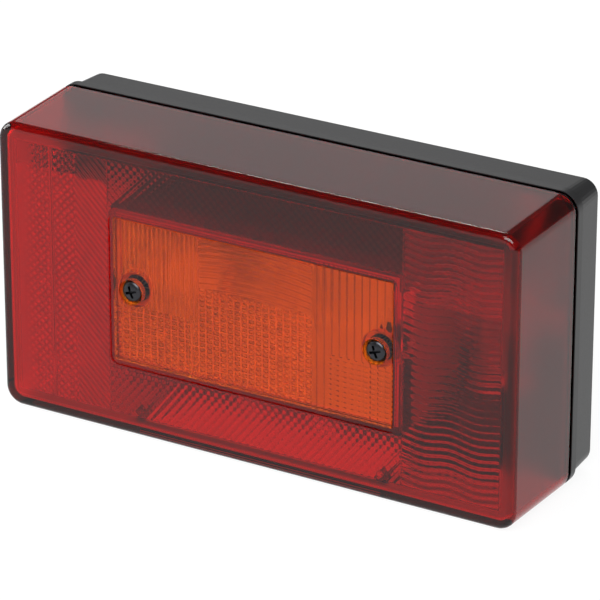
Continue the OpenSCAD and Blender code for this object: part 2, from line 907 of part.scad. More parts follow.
module plate_bulb_clip(side) {
    seat = side * festoon_len / 2;
    blade_x = seat + side * clip_t;
    foot_x = seat + side * clip_w;
    low_z = plate_axis_z - clip_w / 2;
    color([0.75, 0.68, 0.45])
        difference() {
            union() {
                block(
                    [min(seat, blade_x), plate_axis_y - clip_w / 2, low_z],
                    [max(seat, blade_x), floor_y, low_z + clip_w]
                );
                block(
                    [min(seat, foot_x), floor_y - clip_t, low_z],
                    [max(seat, foot_x), floor_y, low_z + clip_w]
                );
            }
            translate([seat, plate_axis_y, plate_axis_z])
                rotate([0, 90, 0])
                    cylinder(r = clip_hole_r, h = 4 * clip_t, center = true);
        }
}

module plate_bulb_clip_left() { plate_bulb_clip(-1); }
module plate_bulb_clip_right() { plate_bulb_clip(1); }

// Middle of a terminal along X
function terminal_x(i) = terminal_x0 + terminal_end + (i + 0.5) * terminal_pitch;

module terminal_block() {
    low_z = passage_z - terminal_w / 2;
    top_y = floor_y - terminal_h;
    hole_y = top_y + terminal_screw_sink + terminal_screw_h;
    color([0.2, 0.2, 0.2])
        difference() {
            block([terminal_x0, top_y, low_z], [terminal_x0 + terminal_len, floor_y, low_z + terminal_w]);
            for (i = [0:terminal_count - 1]) {
                centre_x = terminal_x(i);
                y_cylinder(terminal_screw_r + fit_gap, centre_x, passage_z, top_y - cut_over, hole_y);
                translate([centre_x, floor_y - terminal_h / 2, low_z - cut_over])
                    cylinder(r = terminal_wire_r, h = terminal_w + 2 * cut_over);
            }
        }
}

module terminal_screws() {
    screw_y = floor_y - terminal_h + terminal_screw_sink;
    half_slot = terminal_slot_w / 2;
    color([0.7, 0.68, 0.6])
        for (i = [0:terminal_count - 1]) {
            centre_x = terminal_x(i);
            difference() {
                y_cylinder(terminal_screw_r, centre_x, passage_z, screw_y, screw_y + terminal_screw_h);
                block(
                    [centre_x - terminal_pitch / 2, screw_y - cut_over, passage_z - half_slot],
                    [centre_x + terminal_pitch / 2, screw_y + terminal_slot_d, passage_z + half_slot]
                );
            }
        }
}

// A flat strip on the back plate from the terminals to the right-hand socket
module earth_strip() {
    start_x = terminal_x0 + terminal_len;
    half = strip_w / 2;
    color([0.78, 0.7, 0.45]) {
        block(
            [start_x, floor_y - strip_t, passage_z - half],
            [fog_x + half, floor_y, passage_z + half]
        );
        block(
            [fog_x - half, floor_y - strip_t, stud_pad_r + strip_gap],
            [fog_x + half, floor_y, passage_z + half]
        );
    }
}

// A rubber grommet: flange behind the plate, neck through it, bead and tapered nose inside
module cable_grommet() {
    neck = grommet_neck_d / 2;
    bore = cable_d / 2;
    inside = back_t - grommet_sink;
    color([0.08, 0.08, 0.08])
        translate([grommet_x, -grommet_sink, passage_z])
            rotate([90, 0, 0])
                rotate_extrude()
                    polygon([
                        [bore, 0], [grommet_flange_r, 0], [grommet_flange_r, grommet_flange_t],
                        [neck, grommet_flange_t], [neck, inside],
                        [neck + grommet_bead, inside], [neck + 2 * grommet_bead / 3, inside + grommet_bead_h],
                        [bore + grommet_nose_wall, inside + grommet_nose], [bore, inside + grommet_nose]
                    ]);
}

// A round-headed stud: the head lies on its pad inside, a neck fills the hole and the shank stands out behind
module mounting_stud(side) {
    face = back_t + stud_pad_t;
    color([0.72, 0.72, 0.74])
        translate([side * stud_span / 2, floor_y - stud_pad_t, stud_z])
            rotate([-90, 0, 0])
                rotate_extrude()
                    polygon(concat(
                        [[0, -stud_head_h]],
                        [
                            for (a = [75:-15:0])
                                [stud_head_r * cos(a), -stud_head_h + stud_crown * (1 - sin(a))]
                        ],
                        [
                            [stud_head_r, 0], [stud_neck_r, 0], [stud_neck_r, face],
                            [stud_d / 2, face], [stud_d / 2, face + stud_out - stud_chamfer],
                            [stud_d / 2 - stud_chamfer, face + stud_out], [0, face + stud_out]
                        ]
                    ));
}

module mounting_stud_left() { mounting_stud(-1); }
module mounting_stud_right() { mounting_stud(1); }

red_lens();
amber_window();
plate_window();
lens_seal();
base_housing();
lens_screw_left();
lens_screw_right();
screw_washer_left();
screw_washer_right();
indicator_reflector();
tail_reflector();
indicator_bulb_glass();
indicator_bulb_cap();
indicator_filament();
indicator_socket();
tail_bulb_glass();
tail_bulb_cap();
tail_filament();
tail_socket();
fog_bulb_glass();
fog_bulb_cap();
fog_filament();
fog_socket();
plate_bulb_glass();
plate_bulb_caps();
plate_bulb_clip_left();
plate_bulb_clip_right();
terminal_block();
terminal_screws();
earth_strip();
socket_rivets();
cable_grommet();
mounting_stud_left();
mounting_stud_right();
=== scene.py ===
"""Rear lamp: finer lens mouldings, threaded fixings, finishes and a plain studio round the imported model."""

from math import cos, floor, pi, radians, sin

import bmesh
import bpy
from bpy.props import FloatProperty, FloatVectorProperty, PointerProperty
from mathutils import Matrix, Vector


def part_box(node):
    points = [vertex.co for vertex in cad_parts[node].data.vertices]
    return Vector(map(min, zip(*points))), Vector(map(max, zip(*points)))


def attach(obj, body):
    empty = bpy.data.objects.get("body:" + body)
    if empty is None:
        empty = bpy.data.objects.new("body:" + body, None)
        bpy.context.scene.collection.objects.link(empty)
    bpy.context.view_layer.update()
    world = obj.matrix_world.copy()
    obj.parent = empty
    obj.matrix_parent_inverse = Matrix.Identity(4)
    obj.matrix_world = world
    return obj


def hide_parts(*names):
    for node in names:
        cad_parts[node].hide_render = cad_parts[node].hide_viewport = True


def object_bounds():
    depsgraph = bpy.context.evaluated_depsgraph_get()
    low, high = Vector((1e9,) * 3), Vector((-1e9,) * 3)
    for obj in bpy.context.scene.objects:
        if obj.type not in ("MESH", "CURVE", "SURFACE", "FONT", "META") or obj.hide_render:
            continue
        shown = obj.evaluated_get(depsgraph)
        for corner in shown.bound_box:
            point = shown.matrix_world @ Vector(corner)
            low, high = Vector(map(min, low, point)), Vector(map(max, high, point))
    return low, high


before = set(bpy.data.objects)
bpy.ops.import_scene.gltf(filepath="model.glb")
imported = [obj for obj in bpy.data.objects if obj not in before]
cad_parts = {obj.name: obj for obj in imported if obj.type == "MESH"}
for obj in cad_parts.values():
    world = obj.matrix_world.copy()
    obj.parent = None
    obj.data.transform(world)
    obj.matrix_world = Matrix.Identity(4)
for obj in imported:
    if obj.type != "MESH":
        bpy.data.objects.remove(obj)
CAD_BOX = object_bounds()

bl_info = {
    "name": "Rear lamp pieces",
    "version": (1, 0, 0),
    "blender": (4, 5, 0),
    "location": "View3D > Sidebar > Lamp",
    "description": "Lens mouldings, fixings, finishes and studio for a rectangular rear lamp",
    "category": "Object",
}

MM = 0.001
HOOD_LOW, HOOD_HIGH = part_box("red_lens")
WINDOW_LOW, WINDOW_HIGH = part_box("amber_window")
PLATE_LOW, PLATE_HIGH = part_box("plate_window")
SCREW_LEFT_LOW, SCREW_LEFT_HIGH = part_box("lens_screw_left")
SCREW_RIGHT_LOW, SCREW_RIGHT_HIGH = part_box("lens_screw_right")
TAIL_LOW, TAIL_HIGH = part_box("tail_reflector")
TAIL_SOCKET_LOW, TAIL_SOCKET_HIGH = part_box("tail_socket")
STUD_LOW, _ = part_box("mounting_stud_left")
BOX_LOW, BOX_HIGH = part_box("indicator_reflector")

# Places that several pieces share
HALF_W, HALF_H, FRONT = HOOD_HIGH.x, HOOD_HIGH.z, HOOD_LOW.y
MID_Z = (WINDOW_LOW.z + WINDOW_HIGH.z) / 2
SCREW_XS = ((SCREW_LEFT_LOW.x + SCREW_LEFT_HIGH.x) / 2, (SCREW_RIGHT_LOW.x + SCREW_RIGHT_HIGH.x) / 2)

# Joined forms run into each other by OVERLAP, cutting forms run past a face by MM or PAST
OVERLAP = 0.5 * MM
PAST = 2 * MM

# Hood: where its tongue, openings and optics lie
TONGUE_FACE = 0.65 * MM
TONGUE_BACK = 1.85 * MM
OPENING_RADIUS = 0.8 * MM
PLATE_LIP = 1.5 * MM
OPTIC_GAP = 0.6 * MM
CLEAR_X = WINDOW_HIGH.x + OPTIC_GAP
OVER_Z = WINDOW_HIGH.z + OPTIC_GAP
UNDER_Z = WINDOW_LOW.z - OPTIC_GAP
BAND_X = CLEAR_X - 0.3 * MM
SPLIT_X = -75.2 * MM
SPLIT_HALF = 0.9 * MM
FADE_X = -86 * MM
FADE_WIDTH = 5 * MM
HATCH_X = -66 * MM
SWAY_WIDTH = 3 * MM

# Hood: where its optics are made clearer or cloudier as painted shade and painted light, and how hazy its inside is
SHADE_X = -88 * MM
SHADE_Z = 35 * MM
SHADE_WAVE = 1.5 * MM
SHADE_PITCH = 9 * MM
SHADE_CLOUD = 0.04
BRIGHT_Z = 20 * MM
DULL_RISE = 4 * MM
DULL_WIDTH = 45 * MM
RIGHT_HIGH_SHARE, RIGHT_LOW_SHARE = 1.3, 0.25
OVER_HIGH_SHARE, OVER_LOW_SHARE = 0.15, 0.35
UNDER_FADE = 0.5
OPTIC_HAZE = 0.35
CORNER_HAZE = 0.5

# Window: bosses and recesses for the screws, and where its relief changes
BOSS_RADIUS = 5.95 * MM
BOSS_REACH = 6.1 * MM
RECESS_RADIUS = 4.3 * MM
HOLE_RADIUS = 2.05 * MM
RECESS_FLOOR = 3.4 * MM
FLANGE_RADIUS = 1.5 * MM
TOOTH_EDGE = 1.3 * MM
GRID_DROP = 6 * MM
LEFT_FLUTES = 4 * MM
RIGHT_FLUTES = 6 * MM
RIB_BOW = 0.004

# Haze and cloud of plain faces and of the window's zones
PLAIN = (0.0, 0.0)
BOSS_MARK = (0.6, 0.5)
BROAD_MARK = (0.3, 0.0)
FINE_MARK = (0.4, 0.3)
RIB_MARK = (0.4, 0.2)
GRID_HAZE, GRID_CLOUD = 0.4, 0.5

# Finish of a polished mould
POLISHED = 0.03

# Camera that was fitted to the photo
CAMERA_PLACE = Vector((0.6316, -1.1009, 0.5563))
CAMERA_RIGHT = Vector((0.8626, 0.5059, 0.0))
CAMERA_UP = Vector((-0.2071, 0.3531, 0.9124))
CAMERA_AHEAD = Vector((-0.4616, 0.7870, -0.4093))


# Sizes and colours that a user would change

class HoodSettings(bpy.types.PropertyGroup):
    """Sizes of the red hood"""

    wall: FloatProperty(name="Wall", description="Wall of the hood", default=0.0025, unit="LENGTH")
    tongue: FloatProperty(
        name="Tongue", description="Length of the tongue on the hood's edge", default=0.001, unit="LENGTH")
    corner_radius: FloatProperty(
        name="Corner radius", description="Radius of the four corners", default=0.0064, unit="LENGTH")
    edge_radius: FloatProperty(
        name="Edge radius", description="Radius round the front face", default=0.0022, unit="LENGTH")
    draft: FloatProperty(
        name="Draft", description="How far each side leans in at the front", default=0.00066, unit="LENGTH")
    joint_gap: FloatProperty(
        name="Joint gap", description="Width of the shadow line in front of the base", default=0.0011,
        unit="LENGTH")
    joint_radius: FloatProperty(
        name="Joint radius", description="Radius of the edge that meets the base", default=0.0012, unit="LENGTH")
    border: FloatProperty(
        name="Border", description="Smooth border between optics and walls", default=0.0036, unit="LENGTH")
    bezel_width: FloatProperty(
        name="Step width", description="Width of the step round the amber window", default=0.0016, unit="LENGTH")
    bezel_depth: FloatProperty(
        name="Step depth", description="Depth of the step round the amber window", default=0.0005, unit="LENGTH")
    bezel_radius: FloatProperty(
        name="Step radius", description="Corner radius of that step", default=0.003, unit="LENGTH")
    optic_height: FloatProperty(
        name="Optic height", description="Height of the prisms behind the front", default=0.0008, unit="LENGTH")
    optic_cloud: FloatProperty(
        name="Optic cloud", description="How cloudy the optics are", default=0.25, min=0, max=1)
    # Painted light: the optics of the left end are made cloudy so that they glow bright.
    end_painted_glow: FloatProperty(
        name="End cloud", description="How cloudy the optics of the left end are", default=0.75, min=0, max=1)
    inner_radius: FloatProperty(
        name="Inner radius", description="Radius inside, round the front wall", default=0.0015, unit="LENGTH")
    pillow_pitch: FloatProperty(
        name="Pillow pitch", description="Pitch of the staggered pillows", default=0.00275, unit="LENGTH")
    rib_pitch: FloatProperty(
        name="Rib pitch", description="Pitch of the horizontal ribs", default=0.0025, unit="LENGTH")
    hatch_pitch: FloatProperty(
        name="Hatch pitch", description="Pitch of the slanting hatch beside the window", default=0.0017,
        unit="LENGTH")
    streak_pitch: FloatProperty(
        name="Streak pitch", description="Pitch of the slanting prisms in the bands", default=0.0028, unit="LENGTH")


class WindowSettings(bpy.types.PropertyGroup):
    """Sizes of the amber window"""

    sink: FloatProperty(
        name="Sink", description="How far the window lies below the red face", default=0.0002, unit="LENGTH")
    flange: FloatProperty(
        name="Flange", description="Width of the flange behind the red wall", default=0.0023, unit="LENGTH")
    flange_wall: FloatProperty(
        name="Flange wall", description="Thickness of that flange", default=0.0015, unit="LENGTH")
    gap: FloatProperty(
        name="Gap", description="Gap between the window and its opening", default=0.00015, unit="LENGTH")
    relief: FloatProperty(
        name="Relief", description="Height of the flutes behind the window", default=0.0009, unit="LENGTH")
    fine_pitch: FloatProperty(
        name="Fine pitch", description="Pitch of the fine flutes at the left", default=0.0017, unit="LENGTH")
    broad_pitch: FloatProperty(
        name="Broad pitch", description="Pitch of the broad flutes at the right", default=0.0027, unit="LENGTH")
    field_pitch: FloatProperty(
        name="Field pitch", description="Spacing of the level lines of the grid", default=0.00175, unit="LENGTH")
    rib_pitch: FloatProperty(
        name="Rib pitch", description="Pitch of the bowed ribs in the upper middle", default=0.0021, unit="LENGTH")
    grid_pitch: FloatProperty(
        name="Grid pitch", description="Spacing of the upright lines of the grid", default=0.0026, unit="LENGTH")
    field_width: FloatProperty(
        name="Field width", description="Width of the field in the middle", default=0.041, unit="LENGTH")


class InsideSettings(bpy.types.PropertyGroup):
    """Sizes of the bright pieces behind the hood"""

    tray_wall: FloatProperty(name="Tray wall", description="Wall of the tail tray", default=0.0012, unit="LENGTH")
    tray_depth: FloatProperty(name="Tray depth", description="Depth of the tail tray", default=0.0085, unit="LENGTH")
    tray_radius: FloatProperty(
        name="Tray radius", description="Corner radius of the tail tray", default=0.003, unit="LENGTH")
    upper_gap: FloatProperty(
        name="Upper gap", description="How far tray and cheeks end below the reflector's top", default=0.01,
        unit="LENGTH")
    cheek_wall: FloatProperty(
        name="Cheek wall", description="Thickness of the plates on the light box", default=0.0004, unit="LENGTH")
    box_wall: FloatProperty(
        name="Box wall", description="Wall of the light box with its gap", default=0.0019, unit="LENGTH")


class FixingSettings(bpy.types.PropertyGroup):
    """Sizes of the stud threads"""

    thread_pitch: FloatProperty(
        name="Thread pitch", description="Pitch of the stud threads", default=0.001, unit="LENGTH")
    thread_depth: FloatProperty(
        name="Thread depth", description="Depth of the stud threads", default=0.00055, unit="LENGTH")


class FinishSettings(bpy.types.PropertyGroup):
    """Colours of the finishes"""

    red: FloatVectorProperty(
        name="Red plastic", description="Colour of the hood", subtype="COLOR", size=3, min=0, max=1,
        default=(0.95, 0.07, 0.055))
    amber: FloatVectorProperty(
        name="Amber plastic", description="Colour of the window", subtype="COLOR", size=3, min=0, max=1,
        default=(0.98, 0.45, 0.06))
    red_density: FloatProperty(
        name="Red density", description="How strongly the hood swallows light, per metre", default=1500.0)
    red_pass: FloatVectorProperty(
        name="Red pass", description="Light that the hood lets through", subtype="COLOR", size=3, min=0, max=1,
        default=(0.934, 0.25, 0.2))
    haze_rough: FloatProperty(
        name="Haze roughness", description="Roughness of the finely grained insides", default=0.5, min=0, max=1)
    amber_density: FloatProperty(
        name="Amber density", description="How strongly the window swallows light, per metre", default=1500.0)
    amber_pass: FloatVectorProperty(
        name="Amber pass", description="Light that the window lets through", subtype="COLOR", size=3, min=0, max=1,
        default=(0.992, 0.94, 0.3))
    black: FloatVectorProperty(
        name="Black plastic", description="Colour of the base", subtype="COLOR", size=3, min=0, max=1,
        default=(0.022, 0.022, 0.023))


class StudioSettings(bpy.types.PropertyGroup):
    """Light and floor of the studio"""

    sky: FloatProperty(name="Sky", description="Strength of the even light all round", default=0.14)
    floor_tone: FloatProperty(name="Floor tone", description="Tone of the floor", default=0.1)
    floor_glow: FloatProperty(name="Floor glow", description="Light that the floor gives", default=0.92)
    back_glow: FloatProperty(name="Back glow", description="Light of the card behind", default=1.0)
    front_glow: FloatProperty(name="Front glow", description="Light of the card over the camera", default=8.5)
    side_glow: FloatProperty(name="Side glow", description="Light of the card at the left", default=8.0)
    strip_glow: FloatProperty(name="Strip glow", description="Light of the strip overhead", default=12.0)
    lens: FloatProperty(name="Lens", description="Focal length of the camera in mm", default=256.36)


# Mesh helpers

def box_between(bm, low, high):
    """Adds a box between two corners and returns its vertices."""
    made = bmesh.ops.create_cube(bm, size=1.0)["verts"]
    size = Vector(high) - Vector(low)
    bmesh.ops.scale(bm, vec=size, verts=made)
    bmesh.ops.translate(bm, vec=(Vector(low) + Vector(high)) / 2, verts=made)
    return made


def round_corners(bm, radius, segments):
    """Rounds the edges that run along Y."""
    edges = [e for e in bm.edges if abs((e.verts[0].co - e.verts[1].co).normalized().y) > 0.9]
    bmesh.ops.bevel(
        bm, geom=edges, offset=radius, affect="EDGES", segments=segments, profile=0.5, material=-1,
        clamp_overlap=False)


def round_level(bm, level, radius, segments):
    """Rounds the edges that lie at one level along Y."""
    edges = [e for e in bm.edges if all(abs(v.co.y - level) < 1e-6 for v in e.verts)]
    bmesh.ops.bevel(
        bm, geom=edges, offset=radius, affect="EDGES", segments=segments, profile=0.5, material=-1,
        clamp_overlap=False)


def rounded_block(low, high, radius, segments=8):
    """A box with rounded corners along Y."""
    bm = bmesh.new()
    box_between(bm, low, high)
    round_corners(bm, radius, segments)
    return bm


def tub_form(half_w, half_h, full_y, small_y, corner_r, edge_r, draft):
    """A box with rounded corners and a rounded front edge, leaning in towards its front."""
    bm = rounded_block((-half_w, small_y, -half_h), (half_w, full_y, half_h), corner_r, 12)
    round_level(bm, small_y, edge_r, 8)
    for v in bm.verts:
        lean = draft * (full_y - v.co.y) / (full_y - small_y)
        v.co.x *= 1 - lean / half_w
        v.co.z *= 1 - lean / half_h
    return bm


def rod(radius, x, z, y_low, y_high, segments=48):
    """A cylinder along Y."""
    bm = bmesh.new()
    bmesh.ops.create_cone(
        bm, cap_ends=True, segments=segments, radius1=radius, radius2=radius, depth=y_high - y_low)
    bmesh.ops.rotate(bm, verts=bm.verts, matrix=Matrix.Rotation(pi / 2, 3, "X"))
    bmesh.ops.translate(bm, verts=bm.verts, vec=(x, (y_low + y_high) / 2, z))
    return bm


def steps(low, high, pitch, parts):
    """Grid lines from low to high that divide each pitch evenly."""
    count = max(1, round((high - low) / pitch * parts))
    return [low + (high - low) * i / count for i in range(count + 1)]


def relief_block(xs, zs, face_y, back_y, height):
    """A closed block: a flat at face_y and a rear face at back_y raised by height(x, z)."""
    bm = bmesh.new()
    bmesh.ops.create_grid(bm, x_segments=len(xs) - 1, y_segments=len(zs) - 1, size=0.5)
    for v in bm.verts:
        x = xs[round((v.co.x + 0.5) * (len(xs) - 1))]
        z = zs[round((v.co.y + 0.5) * (len(zs) - 1))]
        v.co = Vector((x, back_y + height(x, z), z))
    rim = [e for e in bm.edges if e.is_boundary]
    made = bmesh.ops.extrude_edge_only(bm, edges=rim)["geom"]
    for v in made:
        if isinstance(v, bmesh.types.BMVert):
            v.co.y = face_y
    bmesh.ops.contextual_create(bm, geom=[e for e in made if isinstance(e, bmesh.types.BMEdge)])
    bmesh.ops.recalc_face_normals(bm, faces=bm.faces)
    return bm


def mesh_object(name, bm):
    """Turns a bmesh into an object at the origin."""
    mesh = bpy.data.meshes.new(name)
    bm.to_mesh(mesh)
    bm.free()
    obj = bpy.data.objects.new(name, mesh)
    bpy.context.scene.collection.objects.link(obj)
    return obj


def settle(obj):
    """Applies an object's modifiers to its mesh."""
    graph = bpy.context.evaluated_depsgraph_get()
    mesh = bpy.data.meshes.new_from_object(obj.evaluated_get(graph))
    spent = obj.data
    obj.modifiers.clear()
    obj.data = mesh
    bpy.data.meshes.remove(spent)
    mesh.name = obj.name


def combine(obj, bm, operation):
    """Adds a form to an object or takes it away, and leaves one closed skin."""
    tool = mesh_object("tool", bm)
    cut = obj.modifiers.new("combine", "BOOLEAN")
    cut.object = tool
    cut.operation = operation
    cut.solver = "MANIFOLD"
    settle(obj)
    bpy.data.objects.remove(tool, do_unlink=True)


def finish_piece(obj, finish, slot, *nodes, angle=32):
    """Smooths a piece, gives it its finish and lets it stand for its CAD nodes."""
    mesh = obj.data
    mesh.shade_smooth()
    mesh.set_sharp_from_angle(angle=radians(angle))
    even = obj.modifiers.new("even", "WEIGHTED_NORMAL")
    even.keep_sharp = True
    settle(obj)
    obj.data.materials.clear()
    obj.data.materials.append(finish)
    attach(obj, "root")
    if nodes:
        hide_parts(*nodes)


# Relief of the optics

def ridge(value):
    """A round-topped tooth for each whole step."""
    return abs(sin(pi * value))


def wave(value):
    """A soft rise and fall for each whole step."""
    return 0.5 - 0.5 * cos(2 * pi * value)


def thin_line(value):
    """One on each whole number, falling to nothing a third of the way to the next."""
    return max(0.0, 1 - 3 * abs(value - round(value)))


def pillow(a, b):
    """A low dome for each cell of a unit grid."""
    u = a - floor(a) - 0.5
    v = b - floor(b) - 0.5
    return 1 - 2 * (u * u + v * v)


def pyramid(x, z, pitch):
    """Four-sided points in a diamond pattern, steep enough to throw light back."""
    a = (x + z) / pitch
    b = (x - z) / pitch
    return 1 - 2 * max(abs(a - floor(a) - 0.5), abs(b - floor(b) - 0.5))


def staggered(x, z, pitch):
    """Domes in a diamond pattern."""
    return pillow((x + z) / pitch, (x - z) / pitch)


# Finishes

def shader(name):
    """A new material with its main shader and node helper."""
    finish = bpy.data.materials.new(name)
    finish.use_nodes = True
    tree = finish.node_tree
    return finish, tree, tree.nodes["Principled BSDF"]


def grain(tree, bsdf, scale, strength, distance, detail=4.0):
    """Fine surface grain on object coordinates."""
    place = tree.nodes.new("ShaderNodeTexCoord")
    noise = tree.nodes.new("ShaderNodeTexNoise")
    bump = tree.nodes.new("ShaderNodeBump")
    noise.inputs["Scale"].default_value = scale
    noise.inputs["Detail"].default_value = detail
    bump.inputs["Strength"].default_value = strength
    bump.inputs["Distance"].default_value = distance
    tree.links.new(place.outputs["Object"], noise.inputs["Vector"])
    tree.links.new(noise.outputs["Fac"], bump.inputs["Height"])
    tree.links.new(bump.outputs["Normal"], bsdf.inputs["Normal"])
    return place, noise


def vary_roughness(tree, bsdf, noise, low, high):
    """Roughness that wanders between two values."""
    spread = tree.nodes.new("ShaderNodeMapRange")
    spread.inputs["To Min"].default_value = low
    spread.inputs["To Max"].default_value = high
    tree.links.new(noise.outputs["Fac"], spread.inputs["Value"])
    tree.links.new(spread.outputs["Result"], bsdf.inputs["Roughness"])


def clear_plastic(name, colour, ior, density=0.0, passes=(1, 1, 1)):
    """Moulded clear plastic, faintly wavy as it leaves the tool, darker where it is thick."""
    finish, tree, bsdf = shader(name)
    bsdf.inputs["Base Color"].default_value = (*colour, 1)
    bsdf.inputs["Roughness"].default_value = POLISHED
    bsdf.inputs["IOR"].default_value = ior
    bsdf.inputs["Transmission Weight"].default_value = 1.0
    grain(tree, bsdf, 45.0, 0.25, 0.00002, 1.0)
    if density:
        body = tree.nodes.new("ShaderNodeVolumeAbsorption")
        body.inputs["Color"].default_value = (*passes, 1)
        body.inputs["Density"].default_value = density
        tree.links.new(body.outputs["Volume"], tree.nodes["Material Output"].inputs["Volume"])
    return finish


def moulded_plastic(name, colour, low, high, scale, depth):
    """Moulded plastic with a fine spark-eroded grain."""
    finish, tree, bsdf = shader(name)
    bsdf.inputs["Base Color"].default_value = (*colour, 1)
    bsdf.inputs["IOR"].default_value = 1.46
    bsdf.inputs["Specular IOR Level"].default_value = 0.4
    _, noise = grain(tree, bsdf, scale, 0.35, depth)
    vary_roughness(tree, bsdf, noise, low, high)
    return finish


def metal(name, colour, low, high, scale=300.0):
    """Metal with faint drawing or plating marks."""
    finish, tree, bsdf = shader(name)
    bsdf.inputs["Base Color"].default_value = (*colour, 1)
    bsdf.inputs["Metallic"].default_value = 1.0
    _, noise = grain(tree, bsdf, scale, 0.3, 0.00001)
    vary_roughness(tree, bsdf, noise, low, high)
    return finish


def rubber(name, tone):
    """Matt black rubber."""
    finish, tree, bsdf = shader(name)
    bsdf.inputs["Base Color"].default_value = (tone, tone, tone, 1)
    bsdf.inputs["Specular IOR Level"].default_value = 0.3
    _, noise = grain(tree, bsdf, 900.0, 0.4, 0.00003)
    vary_roughness(tree, bsdf, noise, 0.6, 0.8)
    return finish


def bulb_glass(name):
    """Clear glass, so thin that it only glints."""
    finish, tree, bsdf = shader(name)
    bsdf.inputs["Base Color"].default_value = (0.98, 0.99, 1.0, 1)
    bsdf.inputs["Roughness"].default_value = 0.02
    bsdf.inputs["IOR"].default_value = 1.5
    bsdf.inputs["Alpha"].default_value = 0.12
    grain(tree, bsdf, 60.0, 0.1, 0.00001, 0.0)
    return finish


def moulded_clear(name, colour, ior, density, passes):
    """Clear plastic, polished outside, grained and cloudier where its haze and cloud marks say."""
    finish = clear_plastic(name, colour, ior, density, passes)
    tree = finish.node_tree
    bsdf = tree.nodes["Principled BSDF"]
    rough = bpy.context.scene.lamp_finish.haze_rough
    for mark, socket, plain, full in (
            ("cloud", "Transmission Weight", 1.0, 0.0), ("haze", "Roughness", POLISHED, rough)):
        mask = tree.nodes.new("ShaderNodeAttribute")
        mask.attribute_name = mark
        blend = tree.nodes.new("ShaderNodeMapRange")
        blend.inputs["To Min"].default_value = plain
        blend.inputs["To Max"].default_value = full
        tree.links.new(mask.outputs["Fac"], blend.inputs["Value"])
        tree.links.new(blend.outputs["Result"], bsdf.inputs[socket])
    return finish


def mark_skin(obj, rule):
    """Writes haze and cloud for each vertex, as rule(co) gives them."""
    haze = obj.data.attributes.new("haze", "FLOAT", "POINT")
    cloud = obj.data.attributes.new("cloud", "FLOAT", "POINT")
    for v in obj.data.vertices:
        haze.data[v.index].value, cloud.data[v.index].value = rule(v.co)


def red_finish():
    """Red plastic."""
    s = bpy.context.scene.lamp_finish
    return moulded_clear("hood_red", s.red, 1.4, s.red_density, s.red_pass)


def amber_finish():
    """Amber plastic."""
    s = bpy.context.scene.lamp_finish
    return moulded_clear("window_amber", s.amber, 1.35, s.amber_density, s.amber_pass)


def zinc_finish():
    """Bright zinc plate, made once."""
    made = bpy.data.materials.get("zinc_plate")
    return made or metal("zinc_plate", (0.72, 0.73, 0.75), 0.22, 0.36)


def bright_finish():
    """Satin metallised plastic, made once."""
    made = bpy.data.materials.get("bright_metal")
    if made:
        return made
    finish = metal("bright_metal", (0.95, 0.95, 0.95), 0.36, 0.44, 120.0)
    finish.node_tree.nodes["Principled BSDF"].inputs["Metallic"].default_value = 0.3
    return finish


# Red hood

def hood_shell(s):
    """The bare shell: an outer tub form less an inner one."""
    rear = HOOD_HIGH.y - s.tongue
    depth = rear - FRONT
    edge = rear - s.joint_gap
    skin = tub_form(HALF_W, HALF_H, edge, FRONT, s.corner_radius, s.edge_radius, s.draft)
    round_level(skin, edge, s.joint_radius, 4)
    hood = mesh_object("red_hood", skin)
    grow = s.draft * PAST / depth
    inside = tub_form(
        HALF_W - s.wall + grow, HALF_H - s.wall + grow, rear + PAST, FRONT + s.wall,
        s.corner_radius - s.wall, s.inner_radius, s.draft * (depth + PAST - s.wall) / depth)
    combine(hood, inside, "DIFFERENCE")
    return hood


def hood_tongue(s):
    """The tongue that enters the base, carried on behind the shadow line."""
    rear = HOOD_HIGH.y - s.tongue
    edge = rear - s.joint_gap

    def frame_block(inset, low_y, high_y):
        """A block as large as the hood, less an inset all round."""
        return rounded_block(
            (-HALF_W + inset, low_y, -HALF_H + inset), (HALF_W - inset, high_y, HALF_H - inset),
            s.corner_radius - inset, 12)

    band = mesh_object("band", frame_block(TONGUE_FACE, edge - OVERLAP, rear + s.tongue))
    combine(band, frame_block(TONGUE_BACK, edge - MM, rear + 2 * s.tongue), "DIFFERENCE")
    form = bmesh.new()
    form.from_mesh(band.data)
    bpy.data.objects.remove(band, do_unlink=True)
    return form


def cut_openings(hood, s, w):
    """Cuts the window's opening, the step round it and the opening over the number plate's bulb."""
    open_x = WINDOW_HIGH.x - w.flange + w.gap
    open_z = WINDOW_HIGH.z - MID_Z - w.flange + w.gap
    step_x = open_x - w.gap + s.bezel_width
    step_z = open_z - w.gap + s.bezel_width
    combine(hood, rounded_block(
        (-open_x, FRONT - MM, MID_Z - open_z), (open_x, FRONT + s.wall + MM, MID_Z + open_z),
        OPENING_RADIUS), "DIFFERENCE")
    combine(hood, rounded_block(
        (-step_x, FRONT - MM, MID_Z - step_z), (step_x, FRONT + s.bezel_depth, MID_Z + step_z),
        s.bezel_radius, 12), "DIFFERENCE")
    window = bmesh.new()
    box_between(
        window,
        (PLATE_LOW.x + PLATE_LIP - w.gap, PLATE_LOW.y + PLATE_LIP - w.gap, -HALF_H - 5 * MM),
        (PLATE_HIGH.x - PLATE_LIP + w.gap, PLATE_HIGH.y - PLATE_LIP + w.gap, -HALF_H / 2))
    combine(hood, window, "DIFFERENCE")


def optic_reach(s):
    """How far the optics reach sideways and up from the middle."""
    return HALF_W - s.draft - s.wall - s.border, HALF_H - s.draft - s.wall - s.border


